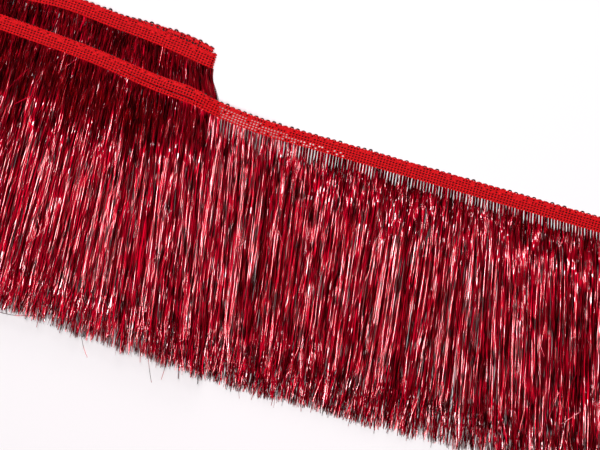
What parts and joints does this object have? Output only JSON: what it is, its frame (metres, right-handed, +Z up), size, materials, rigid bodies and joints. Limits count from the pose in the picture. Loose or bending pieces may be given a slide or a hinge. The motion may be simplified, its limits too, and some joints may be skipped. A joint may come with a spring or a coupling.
{
  "type": "tinsel fringe trim",
  "caption": "Flat-wound length of red metallic tinsel fringe on a chain-stitched heading, with its outer end lying loose and straight.",
  "frame": {"origin": "on the surface under the middle of the loose tail's heading", "axes": "+X along the loose tail to its cut end, +Y from the tips of the fringe to the heading, +Z up"},
  "size_m": [0.4758, 0.2071, 0.0083],
  "materials": {
    "heading": "satin yarn, stitched in lengthwise chains",
    "tinsel": "thin flat metallic film, with pinkish-white glints"
  },
  "bodies": {
    "root": {"heading": "heading", "fringe_tail": "tinsel", "fringe_front": "tinsel", "fringe_upper": "tinsel", "fringe_inner": "tinsel", "fringe_back": "tinsel"}
  },
  "joints": []
}
